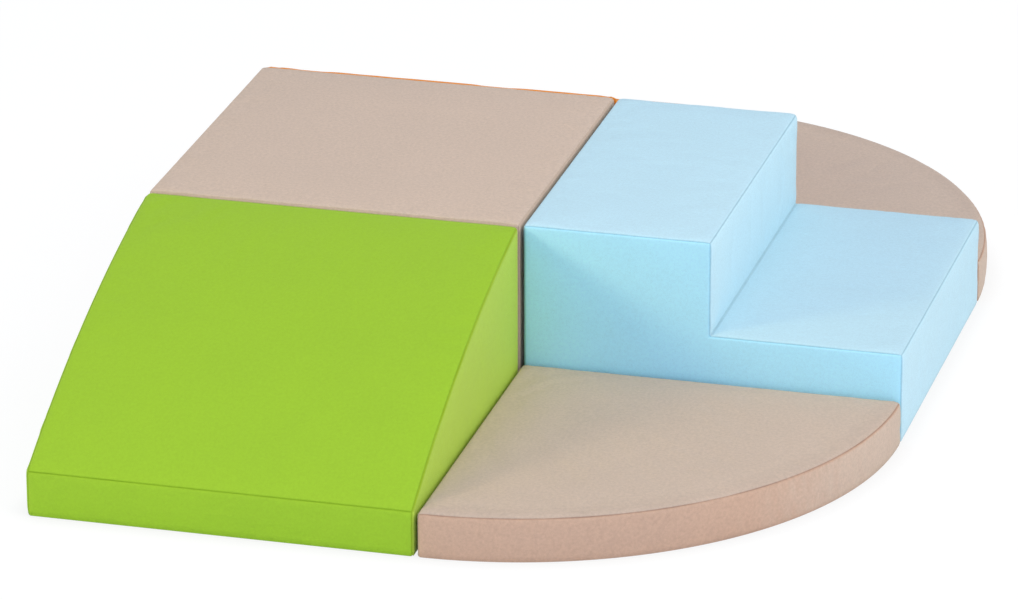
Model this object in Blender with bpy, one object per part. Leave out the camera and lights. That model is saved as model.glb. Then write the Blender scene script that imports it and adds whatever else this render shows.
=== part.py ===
"""Soft play foam climber: six covered foam blocks that stand side to side on the floor.

A square platform carries a bulged ramp in front, a dipped slide behind and a two step stair on its right.
Two low quarter round mats fill the corners beside the stair. Every block is a cut foam core in a sewn,
zipped cover with a non-slip base, and hook and loop strips on the hidden sides hold neighbours together.

Metres, +Z up, front towards -Y. The origin lies on the floor in the middle of the whole set.
"""
import math

import bmesh
import bpy
import numpy
from mathutils import Matrix, Vector
from mathutils.geometry import intersect_point_line

# Block sizes

MODULE_SIDE = 0.600        # side of each square block, and radius of each quarter mat
MODULE_GAP = 0.0065        # air between the faces of two neighbours
PLATFORM_HEIGHT = 0.300
RAMP_LIP_HEIGHT = 0.0725   # upright front of the ramp
SLIDE_LIP_HEIGHT = 0.0725  # upright far end of the slide
RAMP_BULGE = 0.027         # how far the ramp's middle stands above a straight slope
SLIDE_DIP = 0.020          # how far the slide's middle lies below a straight slope
SLIDE_DROP = 0.0025        # how far the slide's upper edge lies below the platform's
TREAD_HEIGHT = 0.146       # lower step of the stair
TREAD_START_SHARE = 0.4965 # where the lower step begins along the stair
MAT_HEIGHT = 0.071

# Covers

COVER_THICKNESS = 0.0012
COVER_LIFT = 0.0004        # the hem is drawn up off the floor, so that the base carries the block
SEAT_GAP = 0.0003          # clearance between pieces that touch
SEAM_RADIUS = 0.005        # rounding of each sewn edge
SEAM_DEPTH = 0.0009        # how far the stitches draw the seam in
SEAM_ZONE_SHARE = 0.6      # share of the rounding that counts as the seam line itself
SEAM_STEPS = 4
HEM_RADIUS = 0.005
HEM_STEPS = 2
HEM_WIDTH = 0.008          # from the side face to the edge of the base opening
TOP_CROWN = 0.0040         # swell of a top panel over its seams
SIDE_CROWN = 0.0035        # swell of a free side
SLOPE_SIDE_CROWN = 0.0075  # swell of the free long side of the ramp and the slide
MATING_CROWN = 0.0012      # swell of a side that a neighbour or a zip keeps flat
CROWN_REACH = 0.100        # distance from the seam at which a panel has its full swell
SEAM_ANGLE = math.radians(30)
CUT_OVERRUN = 0.002        # how far a cutter runs past what it cuts
FLATNESS = 0.000002        # a quad bent less than this stays whole

# Foam cores

FOAM_CHAMFER = 0.005

# Zips

ZIP_HEIGHT = 0.030         # middle of the zip above the floor on a tall block
MAT_ZIP_HEIGHT = 0.018
ZIP_END_MARGIN = 0.040     # from the block's corner to the end of the zip
TAPE_WIDTH = 0.018
SLOT_DEPTH = 0.004         # how far the cut for the zip reaches in from the side face
CHAIN_WIDTH = 0.0050
CHAIN_HEIGHT = 0.0010
CHAIN_TOP_SHARE = 0.8
STOP_LENGTH = 0.003
STOP_EXTRA = 0.0006        # how much wider and higher a stop is than the chain
SLIDER_LENGTH = 0.012
SLIDER_WIDTH = 0.0090
SLIDER_NOSE_SHARE = 0.86
SLIDER_SHOULDER_SHARE = 0.3
SLIDER_WALL = 0.0010

# Hook and loop strips

STRIP_LENGTH = 0.400
STRIP_WIDTH = 0.050
MAT_STRIP_WIDTH = 0.022
MAT_STRIP_HEIGHT = 0.046   # middle of a mat's strip above the floor
STRIP_THICKNESS = (MODULE_GAP - 2 * MATING_CROWN - 3 * SEAT_GAP) / 2

# Derived sizes

HALF = MODULE_SIDE / 2
PITCH = MODULE_SIDE + MODULE_GAP
BASE_THICKNESS = COVER_LIFT + COVER_THICKNESS
ZIP_LENGTH = MODULE_SIDE - 2 * ZIP_END_MARGIN
BASE_INSET = HEM_WIDTH + SEAT_GAP

# Lattice lines, as shares of a block's width, depth and height. They crowd near the seams, where panels swell.

SQUARE_SHARES = (0, 0.06, 0.3, 0.7, 0.94, 1)
WALL_SHARES = (0, 0.15, 0.85, 1)
SLOPE_SHARES = (0, 0.04, 0.14, 0.28, 0.43, 0.58, 0.73, 0.88, 0.96, 1)
LOW_WALL_SHARES = (0, 0.2, 0.5, 0.8, 1)
QUARTER_SHARES = (0, 0.05, 0.2, 0.35, 0.5, 0.65, 0.8, 0.95, 1)
STEP_SHARES = (0, 0.12, 0.5, 0.88, 1)

# Colours, linear

BEIGE = (0.604, 0.487, 0.412)
GREEN = (0.342, 0.571, 0.043)
BLUE = (0.509, 0.776, 0.896)
ORANGE = (0.560, 0.168, 0.020)
FOAM_WHITE = (0.70, 0.69, 0.64)
BASE_GREY = (0.060, 0.062, 0.066)
TAPE_GREY = (0.30, 0.30, 0.30)
NICKEL = (0.62, 0.61, 0.58)
HOOK_GREY = (0.16, 0.16, 0.17)
LOOP_GREY = (0.24, 0.24, 0.25)


def clear_scene():
    for item in list(bpy.data.objects):
        bpy.data.objects.remove(item, do_unlink=True)


def principled(name, colour, roughness, metallic=0.0):
    material = bpy.data.materials.new(name)
    material.use_nodes = True
    shader = material.node_tree.nodes["Principled BSDF"]
    shader.inputs["Base Color"].default_value = (*colour, 1.0)
    shader.inputs["Roughness"].default_value = roughness
    shader.inputs["Metallic"].default_value = metallic
    material.diffuse_color = (*colour, 1.0)
    return material


def finish_object(name, mesh, parent, colour=None, roughness=0.8, metallic=0.0):
    """Turns a bmesh into an object under its block's empty; without a colour it is a cutter."""
    bmesh.ops.recalc_face_normals(mesh, faces=mesh.faces)
    if mesh.calc_volume(signed=True) < 0:
        bmesh.ops.reverse_faces(mesh, faces=mesh.faces)
    data = bpy.data.meshes.new(name)
    mesh.to_mesh(data)
    mesh.free()
    data.shade_smooth()
    data.set_sharp_from_angle(angle=SEAM_ANGLE)
    item = bpy.data.objects.new(name, data)
    item.parent = parent
    bpy.context.scene.collection.objects.link(item)
    if colour is None:
        item.hide_render = True
        item.display_type = "WIRE"
    else:
        data.materials.append(principled(name, colour, roughness, metallic))
    return item


def cut(item, cutter):
    boolean = item.modifiers.new(cutter.name, "BOOLEAN")
    boolean.operation = "DIFFERENCE"
    boolean.solver = "EXACT"
    boolean.object = cutter


def settle_cuts():
    """Makes the cuts a part of each cover's own mesh, in triangles."""
    state = bpy.context.evaluated_depsgraph_get()
    for item in [item for item in bpy.data.objects if item.modifiers]:
        data = bpy.data.meshes.new_from_object(item.evaluated_get(state))
        mesh = bmesh.new()
        mesh.from_mesh(data)
        bmesh.ops.triangulate(mesh, faces=mesh.faces)
        mesh.to_mesh(data)
        mesh.free()
        item.modifiers.clear()
        item.data = data


# Lattice surfaces: the outside of a block of cells, each face of which belongs to one sewn panel

SIDES = {(0, 0): "left", (0, 1): "right", (1, 0): "front", (1, 1): "back", (2, 0): "bottom", (2, 1): "top"}


def plain_panel(axis, side, cell):
    return SIDES[axis, side]


def keep_all(cell):
    return True


def lattice_surface(lines, place, panel_name=plain_panel, keep=keep_all):
    """Builds the outside of the kept cells, and gives the mesh, its panel layer and the panels' numbers."""
    mesh = bmesh.new()
    layer = mesh.faces.layers.int.new("panel")
    corners = {}
    numbers = {}
    spans = [range(len(shares) - 1) for shares in lines]
    cells = {(i, j, k) for i in spans[0] for j in spans[1] for k in spans[2] if keep((i, j, k))}

    def corner(index):
        if index not in corners:
            corners[index] = mesh.verts.new(place(*(lines[axis][index[axis]] for axis in range(3))))
        return corners[index]

    for cell in sorted(cells):
        for axis in range(3):
            for side in (0, 1):
                beyond = list(cell)
                beyond[axis] += 2 * side - 1
                if tuple(beyond) in cells:
                    continue
                loop = []
                for first, second in ((0, 0), (1, 0), (1, 1), (0, 1)):
                    index = list(cell)
                    index[axis] += side
                    index[(axis + 1) % 3] += first
                    index[(axis + 2) % 3] += second
                    loop.append(corner(tuple(index)))
                if side == 0:
                    loop.reverse()
                name = panel_name(axis, side, cell)
                mesh.faces.new(loop)[layer] = numbers.setdefault(name, len(numbers))
    bottom = [face for face in mesh.faces if face[layer] == numbers["bottom"]]
    bmesh.ops.dissolve_faces(mesh, faces=bottom, use_verts=False)
    mesh.normal_update()
    return mesh, layer, numbers


def seam_edges(mesh, layer):
    """The edges where two panels meet at an angle."""
    found = []
    for edge in mesh.edges:
        kinds = {face[layer] for face in edge.link_faces}
        if len(kinds) > 1 and edge.calc_face_angle() > SEAM_ANGLE:
            found.append(edge)
    return found


def distance_to_segment(point, segment):
    nearest, share = intersect_point_line(point, *segment)
    if share < 0:
        nearest = segment[0]
    if share > 1:
        nearest = segment[1]
    return (point - nearest).length


def swell(distance):
    """Share of its crown that a panel has at a distance from its nearest seam: an ellipse, then flat."""
    reach = min(distance / CROWN_REACH, 1)
    return math.sqrt(1 - (1 - reach) ** 2)


def raise_crowns(mesh, layer, numbers, crowns):
    """Swells each panel outwards between its seams."""
    borders = {}
    for edge in mesh.edges:
        kinds = {face[layer] for face in edge.link_faces}
        if len(kinds) > 1:
            for kind in kinds:
                borders.setdefault(kind, []).append(tuple(vert.co.copy() for vert in edge.verts))
    heights = {numbers[name]: crown for name, crown in crowns.items() if name in numbers}
    moves = []
    for vert in mesh.verts:
        kinds = {face[layer] for face in vert.link_faces}
        kind = min(kinds)
        if len(kinds) == 1 and kind in heights:
            distance = min(distance_to_segment(vert.co, segment) for segment in borders[kind])
            moves.append((vert, vert.normal * heights[kind] * swell(distance)))
    for vert, move in moves:
        vert.co += move
    mesh.normal_update()


def shrink(mesh, layer, amount):
    """Moves every panel inwards by the same amount, so that the result fits inside the first form."""
    moves = []
    for vert in mesh.verts:
        normals = {}
        for face in vert.link_faces:
            normals[face[layer]] = normals.get(face[layer], Vector()) + face.normal
        rows = [tuple(normal.normalized()) for normal in normals.values()]
        move = numpy.linalg.lstsq(numpy.array(rows), numpy.full(len(rows), -amount), rcond=None)[0]
        moves.append((vert, Vector(move)))
    for vert, move in moves:
        vert.co += move
    mesh.normal_update()


def round_edges(mesh, edges, radius, steps):
    bmesh.ops.bevel(mesh, geom=edges, offset=radius, offset_type="OFFSET", segments=steps, profile=0.5,
                    affect="EDGES", clamp_overlap=True, loop_slide=True)
    mesh.normal_update()


def sew_edges(mesh, layer, numbers):
    """Rounds the edges between panels, draws the stitched line in along each, and rounds the hem."""
    bottom = numbers["bottom"]
    hem = {edge for edge in mesh.edges if any(face[layer] == bottom for face in edge.link_faces)}
    upper = [edge for edge in seam_edges(mesh, layer) if edge not in hem]
    segments = [tuple(vert.co.copy() for vert in edge.verts) for edge in upper]
    round_edges(mesh, upper, SEAM_RADIUS, SEAM_STEPS)
    zone = SEAM_ZONE_SHARE * SEAM_RADIUS
    drawn = [vert for vert in mesh.verts if min(distance_to_segment(vert.co, one) for one in segments) < zone]
    for vert, normal in [(vert, vert.normal.copy()) for vert in drawn]:
        vert.co -= normal * SEAM_DEPTH
    hem = [edge for edge in mesh.edges if any(face[layer] == bottom for face in edge.link_faces)]
    round_edges(mesh, hem, HEM_RADIUS, HEM_STEPS)


def fold_outwards(mesh):
    """Splits each bent quad along its outer diagonal, so that a form and its inset copies fold alike."""
    for face in list(mesh.faces):
        if len(face.verts) != 4:
            continue
        first, second, third, fourth = face.verts
        offset = (first.co + third.co - second.co - fourth.co).dot(face.normal)
        if offset > FLATNESS:
            bmesh.utils.face_split(face, first, third)
        elif offset < -FLATNESS:
            bmesh.utils.face_split(face, second, fourth)


def cover_form(build, crowns):
    mesh, layer, numbers = build()
    raise_crowns(mesh, layer, numbers, crowns)
    sew_edges(mesh, layer, numbers)
    fold_outwards(mesh)
    return mesh


def inner_form(build, crowns, inset):
    """The same form drawn in by an inset, with plain broken edges: a foam core, or the space for it."""
    mesh, layer, numbers = build()
    raise_crowns(mesh, layer, numbers, crowns)
    shrink(mesh, layer, inset)
    round_edges(mesh, [edge for edge in seam_edges(mesh, layer) if edge.is_convex], FOAM_CHAMFER, 1)
    fold_outwards(mesh)
    return mesh


# Forms of the blocks, each on a square footprint round its own middle

def across(share):
    return MODULE_SIDE * share - HALF


def up(share, height, floor=COVER_LIFT):
    return floor + (height - floor) * share


def box_form(height):
    def place(u, v, w):
        return Vector((across(u), across(v), up(w, height)))

    return lattice_surface((SQUARE_SHARES, SQUARE_SHARES, WALL_SHARES), place)


def arc_height(distance, low, high, rise):
    """Height along an arc from low to high over one block side, whose middle stands off its chord by rise."""
    side = math.copysign(1, rise)
    chord = math.hypot(MODULE_SIDE, high - low)
    radius = ((chord / 2) ** 2 + rise ** 2) / (2 * abs(rise))
    back_off = (rise - side * radius) / chord
    centre_along = HALF - (high - low) * back_off
    centre_height = (low + high) / 2 + MODULE_SIDE * back_off
    return centre_height + side * math.sqrt(radius ** 2 - (distance - centre_along) ** 2)


def slope_form(low, high, rise):
    """A wedge with an upright lip in front and an arched top that climbs towards the platform."""
    def place(u, v, w):
        top = arc_height(MODULE_SIDE * v, low, high, rise)
        return Vector((across(u), across(v), up(w, top)))

    return lattice_surface((SQUARE_SHARES, SLOPE_SHARES, LOW_WALL_SHARES), place)


def two_runs(join_share):
    """Lattice lines of two steps in a row, the first of which ends at a share of the whole."""
    first = [join_share * share for share in STEP_SHARES]
    second = [join_share + (1 - join_share) * share for share in STEP_SHARES[1:]]
    return (*first, *second)


STEP_CELLS = len(STEP_SHARES) - 1


def stair_form():
    """Two steps in one cover: a full height half next to the platform, then the lower tread."""
    def place(u, v, w):
        return Vector((across(u), across(v), max(PLATFORM_HEIGHT * w, COVER_LIFT)))

    def panel_name(axis, side, cell):
        if side == 1 and axis == 0 and cell[0] < STEP_CELLS:
            return "riser"
        if side == 1 and axis == 2 and cell[2] < STEP_CELLS:
            return "tread"
        return plain_panel(axis, side, cell)

    def keep(cell):
        return cell[0] < STEP_CELLS or cell[2] < STEP_CELLS

    widths = two_runs(TREAD_START_SHARE)
    heights = two_runs(TREAD_HEIGHT / PLATFORM_HEIGHT)
    return lattice_surface((widths, SQUARE_SHARES, heights), place, panel_name, keep)


def lower_step_form():
    """The stair's full width slab, whose top swells only where the upper step doesn't stand on it."""
    def place(u, v, w):
        return Vector((across(u), across(v), up(w, TREAD_HEIGHT)))

    def panel_name(axis, side, cell):
        if side == 1 and axis == 2:
            return "joint" if cell[0] < STEP_CELLS else "tread"
        return plain_panel(axis, side, cell)

    return lattice_surface((two_runs(TREAD_START_SHARE), SQUARE_SHARES, STEP_SHARES), place, panel_name)


def upper_step_form():
    """The stair's upper block, which stands on the slab once both are drawn in by the cover."""
    floor = TREAD_HEIGHT - 2 * (COVER_THICKNESS + SEAT_GAP) + SEAT_GAP

    def place(u, v, w):
        return Vector((across(TREAD_START_SHARE * u), across(v), up(w, PLATFORM_HEIGHT, floor)))

    return lattice_surface((STEP_SHARES, SQUARE_SHARES, STEP_SHARES), place)


def quarter_angle(u, v):
    """Angle of a lattice point of the quarter disc, whose far corner lies halfway round the arc."""
    if u >= v:
        return math.pi / 4 * v / u
    return math.pi / 2 - math.pi / 4 * u / v


def quarter_form():
    """A quarter disc whose point is at the block's left front corner."""
    def place(u, v, w):
        radius = MODULE_SIDE * max(u, v)
        angle = quarter_angle(u, v) if radius > 0 else 0
        return Vector((radius * math.cos(angle) - HALF, radius * math.sin(angle) - HALF, up(w, MAT_HEIGHT)))

    def panel_name(axis, side, cell):
        return "arc" if axis < 2 and side == 1 else plain_panel(axis, side, cell)

    return lattice_surface((QUARTER_SHARES, QUARTER_SHARES, LOW_WALL_SHARES), place, panel_name)


# Outlines on the floor

def square_outline(inset):
    reach = HALF - inset
    return [Vector((x, y, 0)) for x, y in ((-reach, -reach), (reach, -reach), (reach, reach), (-reach, reach))]


def quarter_outline(inset):
    radius = MODULE_SIDE - inset
    first = math.asin(inset / radius)
    eighth = [math.pi / 4 * share for share in QUARTER_SHARES]
    angles = eighth + [math.pi / 2 - angle for angle in reversed(eighth[:-1])]
    inner = [angle for angle in angles if first < angle < math.pi / 2 - first]
    corner = Vector((inset - HALF, inset - HALF, 0))
    arc = [(radius * math.cos(angle), radius * math.sin(angle)) for angle in (first, *inner, math.pi / 2 - first)]
    return [corner] + [Vector((x - HALF, y - HALF, 0)) for x, y in arc]


def loft(sections):
    """Skins a row of outlines with the same number of points, and closes both ends."""
    mesh = bmesh.new()
    rings = [[mesh.verts.new(point) for point in section] for section in sections]
    count = len(rings[0])
    for first, second in zip(rings, rings[1:]):
        for index in range(count):
            following = (index + 1) % count
            mesh.faces.new((first[index], first[following], second[following], second[index]))
    mesh.faces.new(rings[0])
    mesh.faces.new(rings[-1])
    return mesh


def prism(outline, bottom, top):
    return loft([[point + Vector((0, 0, height)) for point in outline] for height in (bottom, top)])


# Side faces: X runs to the right as one looks at the face, Y up, and Z out of the block

OUTWARD = {"front": (0, -1, 0), "right": (1, 0, 0), "back": (0, 1, 0), "left": (-1, 0, 0)}


def side_frame(face, height):
    """The matrix from a side face's own frame, at a height, into its block's frame."""
    out = Vector(OUTWARD[face])
    rise = Vector((0, 0, 1))
    turn = Matrix((rise.cross(out), rise, out)).transposed().to_4x4()
    return Matrix.Translation(out * HALF + rise * height) @ turn


def on_side(mesh, face, height):
    mesh.transform(side_frame(face, height))
    return mesh


def side_box(length, width, bottom, top):
    x, y = length / 2, width / 2
    return prism([Vector(point) for point in ((-x, -y, 0), (x, -y, 0), (x, y, 0), (-x, y, 0))], bottom, top)


def chain_section(x, extra, seat):
    """Tape with the closed chain on it, cut across at x, with its back at seat under the face."""
    tape_top = seat + COVER_THICKNESS
    foot = CHAIN_WIDTH / 2 + extra
    crest = foot * CHAIN_TOP_SHARE
    top = tape_top + CHAIN_HEIGHT + extra
    edge = TAPE_WIDTH / 2
    half = [(edge, seat), (edge, tape_top), (foot, tape_top), (crest, top)]
    return [Vector((x, y, z)) for y, z in half + [(-y, z) for y, z in reversed(half)]]


def zip_mesh(seat):
    end = ZIP_LENGTH / 2
    inner = end - STOP_LENGTH
    places = ((-end, STOP_EXTRA), (-inner, STOP_EXTRA), (STOP_EXTRA - inner, 0),
              (inner - STOP_EXTRA, 0), (inner, STOP_EXTRA), (end, STOP_EXTRA))
    return loft([chain_section(x, extra, seat) for x, extra in places])


def slider_section(x, share, tape_top):
    """The slider cut across at x: a roof with a wall down each side of the chain."""
    under = tape_top + SEAT_GAP
    roof = tape_top + CHAIN_HEIGHT + SEAT_GAP
    slot = CHAIN_WIDTH / 2 + SEAT_GAP
    outer = max(SLIDER_WIDTH / 2 * share, slot + SLIDER_WALL / 2)
    half = [(slot, roof), (slot, under), (outer, under), (outer, roof), (slot, roof + SLIDER_WALL)]
    return [Vector((x, y, z)) for y, z in half + [(-y, z) for y, z in reversed(half)]]


def slider_mesh(tape_top):
    end = SLIDER_LENGTH / 2
    shoulder = end * SLIDER_SHOULDER_SHARE
    places = ((-end, SLIDER_NOSE_SHARE), (-shoulder, 1), (shoulder, 1), (end, SLIDER_NOSE_SHARE))
    return loft([slider_section(x, share, tape_top) for x, share in places])


def slider_start():
    """How far from the zip's middle the slider stands with the zip closed, next to a stop."""
    return ZIP_LENGTH / 2 - STOP_LENGTH - STOP_EXTRA - SEAT_GAP - SLIDER_LENGTH / 2


# Blocks

def side_crowns(free, mating):
    return {"top": TOP_CROWN, **{name: SIDE_CROWN for name in free}, **{name: MATING_CROWN for name in mating}}


def block_empty(name, column, row, turn=0):
    """The blocks stand on a grid of two columns and three rows, whose middle is the set's origin."""
    empty = bpy.data.objects.new(name, None)
    empty.location = (PITCH * (column - 1 / 2), PITCH * row, 0)
    empty.rotation_euler.z = math.radians(turn)
    bpy.context.scene.collection.objects.link(empty)
    return empty


def add_cover(block, form, crowns, outline, colour):
    """A sewn shell: the crowned form, less the foam's space and the opening for the base."""
    name = block.name
    cover = finish_object(f"{name}_cover", cover_form(form, crowns), block, colour, 0.75)
    opening = prism(outline(HEM_WIDTH), -CUT_OVERRUN, BASE_THICKNESS + CUT_OVERRUN)
    cut(cover, finish_object(f"{name}_base_opening", opening, block))
    space = inner_form(form, crowns, COVER_THICKNESS)
    cut(cover, finish_object(f"{name}_foam_space", space, block))
    base = prism(outline(BASE_INSET), 0, BASE_THICKNESS)
    finish_object(f"{name}_base", base, block, BASE_GREY, 0.9)
    return cover


def add_foam(block, kind, form, crowns):
    core = inner_form(form, crowns, COVER_THICKNESS + SEAT_GAP)
    finish_object(f"{block.name}_{kind}", core, block, FOAM_WHITE, 0.9)


def add_zip(block, cover, face, height, closed_side):
    """A zip sewn edge to edge into a slot low on a hidden side, and its slider; closed_side is 1 or -1."""
    name = block.name
    tape_top = MATING_CROWN * swell(height - COVER_LIFT + TAPE_WIDTH / 2)
    room = 2 * SEAT_GAP
    slot = side_box(ZIP_LENGTH + room, TAPE_WIDTH + room, -SLOT_DEPTH, tape_top + CUT_OVERRUN)
    cut(cover, finish_object(f"{name}_zip_slot", on_side(slot, face, height), block))
    tape = on_side(zip_mesh(tape_top - COVER_THICKNESS), face, height)
    finish_object(f"{name}_zip", tape, block, TAPE_GREY, 0.7)
    slider = finish_object(f"{name}_zip_slider", slider_mesh(tape_top), block, NICKEL, 0.35, 1.0)
    slider.matrix_local = side_frame(face, height) @ Matrix.Translation((closed_side * slider_start(), 0, 0))


def add_strip(block, kind, face, height, width, side_height):
    """One half of a hook and loop pair, sewn flat on a mating side of a given height."""
    fullest = min(height + width / 2, side_height / 2)
    bottom = MATING_CROWN * swell(fullest) + SEAT_GAP
    strip = side_box(STRIP_LENGTH, width, bottom, bottom + STRIP_THICKNESS)
    colour = HOOK_GREY if kind == "hook" else LOOP_GREY
    finish_object(f"{block.name}_{kind}_strip_{face}", on_side(strip, face, height), block, colour, 0.95)


def add_high_strip(block, kind, face):
    add_strip(block, kind, face, PLATFORM_HEIGHT / 2, STRIP_WIDTH, PLATFORM_HEIGHT)


def add_low_strip(block, kind, face, side_height):
    add_strip(block, kind, face, MAT_STRIP_HEIGHT, MAT_STRIP_WIDTH, side_height)


def make_platform():
    block = block_empty("platform", 0, 0)
    crowns = side_crowns((), ("left", "front", "right", "back"))

    def form():
        return box_form(PLATFORM_HEIGHT)

    cover = add_cover(block, form, crowns, square_outline, BEIGE)
    add_foam(block, "foam", form, crowns)
    add_zip(block, cover, "left", ZIP_HEIGHT, 1)
    for face in ("front", "right", "back"):
        add_high_strip(block, "hook", face)


def make_slope(name, row, turn, heights, rise, colour, free_side, mat_side):
    """The ramp or, turned about to stand behind the platform, the slide."""
    block = block_empty(name, 0, row, turn)
    crowns = side_crowns(("front",), ("back", mat_side))
    crowns[free_side] = SLOPE_SIDE_CROWN

    def form():
        return slope_form(*heights, rise)

    cover = add_cover(block, form, crowns, square_outline, colour)
    add_foam(block, "foam", form, crowns)
    add_zip(block, cover, "back", ZIP_HEIGHT, 1)
    add_high_strip(block, "loop", "back")
    add_low_strip(block, "hook", mat_side, PLATFORM_HEIGHT)


def make_stair():
    block = block_empty("stair", 1, 0)
    crowns = side_crowns(("right", "riser"), ("left", "front", "back"))
    crowns["tread"] = TOP_CROWN
    cover = add_cover(block, stair_form, crowns, square_outline, BLUE)
    add_foam(block, "foam_lower", lower_step_form, crowns)
    add_foam(block, "foam_upper", upper_step_form, {**crowns, "right": MATING_CROWN})
    add_zip(block, cover, "left", ZIP_HEIGHT, 1)
    add_high_strip(block, "loop", "left")
    for face in ("front", "back"):
        add_low_strip(block, "hook", face, PLATFORM_HEIGHT)


def make_mat(name, row, turn):
    block = block_empty(name, 1, row, turn)
    crowns = side_crowns(("arc",), ("left", "front"))
    cover = add_cover(block, quarter_form, crowns, quarter_outline, BEIGE)
    add_foam(block, "foam", quarter_form, crowns)
    add_zip(block, cover, "front", MAT_ZIP_HEIGHT, -1)
    for face in ("left", "front"):
        add_low_strip(block, "loop", face, MAT_HEIGHT)


def main():
    clear_scene()
    make_platform()
    ramp_heights = (RAMP_LIP_HEIGHT, PLATFORM_HEIGHT)
    slide_heights = (SLIDE_LIP_HEIGHT, PLATFORM_HEIGHT - SLIDE_DROP)
    make_slope("ramp", -1, 0, ramp_heights, RAMP_BULGE, GREEN, "left", "right")
    make_slope("slide", 1, 180, slide_heights, -SLIDE_DIP, ORANGE, "right", "left")
    make_stair()
    make_mat("front_mat", -1, -90)
    make_mat("back_mat", 1, 0)
    settle_cuts()


main()
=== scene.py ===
"""Dresses the soft play climber: sewn covers, foam, zips, hook and loop tapes, bases, light and camera."""
import math

import bmesh
import bpy
import numpy as np
from mathutils import Matrix, Vector, noise


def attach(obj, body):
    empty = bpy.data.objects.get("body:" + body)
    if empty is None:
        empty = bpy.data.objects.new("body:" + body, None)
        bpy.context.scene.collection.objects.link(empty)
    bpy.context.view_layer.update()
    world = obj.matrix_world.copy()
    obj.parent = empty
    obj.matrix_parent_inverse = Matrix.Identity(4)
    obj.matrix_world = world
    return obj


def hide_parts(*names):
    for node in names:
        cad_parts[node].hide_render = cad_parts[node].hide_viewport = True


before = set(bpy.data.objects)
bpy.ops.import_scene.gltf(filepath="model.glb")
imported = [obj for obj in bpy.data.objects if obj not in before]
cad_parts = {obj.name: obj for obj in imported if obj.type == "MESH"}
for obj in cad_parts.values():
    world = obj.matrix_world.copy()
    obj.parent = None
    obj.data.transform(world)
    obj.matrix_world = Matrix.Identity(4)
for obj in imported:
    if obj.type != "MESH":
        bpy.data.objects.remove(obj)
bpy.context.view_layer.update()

# Sizes of the part, in metres

MODULE_SIDE = 0.600
MODULE_GAP = 0.0065
HALF = MODULE_SIDE / 2
PITCH = MODULE_SIDE + MODULE_GAP
PLATFORM_HEIGHT = 0.300
LIP_HEIGHT = 0.0725
RAMP_BULGE = 0.027
SLIDE_DIP = 0.020
SLIDE_DROP = 0.0025
TREAD_HEIGHT = 0.146
TREAD_START = MODULE_SIDE * 0.4965
MAT_HEIGHT = 0.071
COVER_THICKNESS = 0.0012
COVER_LIFT = 0.0004
SEAT_GAP = 0.0003
SEAM_RADIUS = 0.005
HEM_RADIUS = 0.005
HEM_WIDTH = 0.008
TOP_CROWN = 0.0040
SIDE_CROWN = 0.0035
SLOPE_SIDE_CROWN = 0.0075
MATING_CROWN = 0.0012
CROWN_REACH = 0.100
ZIP_HEIGHT = 0.030
MAT_ZIP_HEIGHT = 0.018
ZIP_LENGTH = 0.520
TAPE_WIDTH = 0.018
CHAIN_WIDTH = 0.0050
CHAIN_HEIGHT = 0.0010
STOP_LENGTH = 0.003
STRIP_LENGTH = 0.400
STRIP_WIDTH = 0.050
MAT_STRIP_WIDTH = 0.022
MAT_STRIP_HEIGHT = 0.046
STRIP_THICKNESS = (MODULE_GAP - 2 * MATING_CROWN - 3 * SEAT_GAP) / 2

# Camera, fitted to the photograph's corners with the lens axis through the middle of the picture

IMAGE_WIDTH = 1018
FOCAL_PIXELS = 6380.8
CAMERA_PLACE = (2.38974, -9.18211, 3.81829)
CAMERA_YAW = 0.26491
CAMERA_PITCH = -0.37706
CAMERA_ROLL = -0.00347
SENSOR_WIDTH = 36
CLIP_RANGE = (0.1, 100)

# Floor and light

FLOOR_HALF_SIDE = 12
FLOOR_DROP = 0.0002        # keeps the floor's plane off the undersides of the blocks
FLOOR_ALBEDO = 0.88
SEEN_ALBEDO = 0.10         # what the camera sees of the floor is this much shade over an even glow
FLOOR_GLOW = 0.92
CONTACT_REACH = 0.04       # the floor is a little darker this close to a block
CONTACT_SHADE = 0.92       # at a wall that hides half the sky
WORLD_LIGHT = 0.52
WORLD_COLOUR = (0.87, 1.01, 1.30)
LAMPS = (
    # name, direction from the set to the lamp, distance, side of the square, strength in the open, colour
    ("key", (0.66, -0.22, 0.72), 6.0, 4.0, 0.56, (1.02, 0.93, 0.73)),
    ("fill", (-0.72, -0.62, 0.35), 6.0, 1.3, 0.26, (1.14, 0.96, 0.48)),
    ("front", (0.15, -0.97, 0.18), 6.0, 5.0, 0.16, (0.51, 0.93, 1.58)),
)

# Sewing and cloth

CELL = 0.0095              # size of a lattice cell of a cover
ROUNDING = 1.01            # room for rounding where two lengths are compared
TINY = 1e-12
RIM = 0.007                # the first cell above the floor and the last below a top seam
RIM_SHARE = 0.1
SEAM_SEGMENTS = 8
SEAM_DEPTH = 0.0011
SEAM_DEPTH_CHANGE = 0.25   # share by which the depth changes along a seam
SEAM_DEPTH_SCALE = 70
LIP_DEPTH = 0.00015        # how far the rows next to the stitches go in
HEM_SEGMENTS = 3
SLOT_DEPTH = 0.004
PRESSURE = 4
STRETCH_STIFFNESS = 30
SHEAR_STIFFNESS = 15
BENDING_STIFFNESS = 2
SIM_FRAMES = 12
SIM_QUALITY = 2
SLACK = 0.012              # how much larger than its form the cloth is cut
SMOOTH_STEPS = 60
WRINKLE_LIMIT = 0.0011
MATING_WRINKLE = 0.00025
KEEP_FLAT_DEPTH = 0.010    # points this near to a side's plane count as lying on it
KEEP_FLAT_EDGE = 0.006     # creases begin this far from a zip or a tape
KEEP_FLAT_REACH = 0.030    # and reach their full height over this distance
SEAM_UNEVEN_SCALE = 14
SEAM_UNEVEN = 0.20         # how much the darkness of a seam line varies along it
ARC_SEAM_UNEVEN = 0.50
ARC_PAINTED_LIGHT_START = 0.72      # painted light: where the painted shade on a mat's arc gives way to the top's colour, as the arc turns right toward the key lamp
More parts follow.
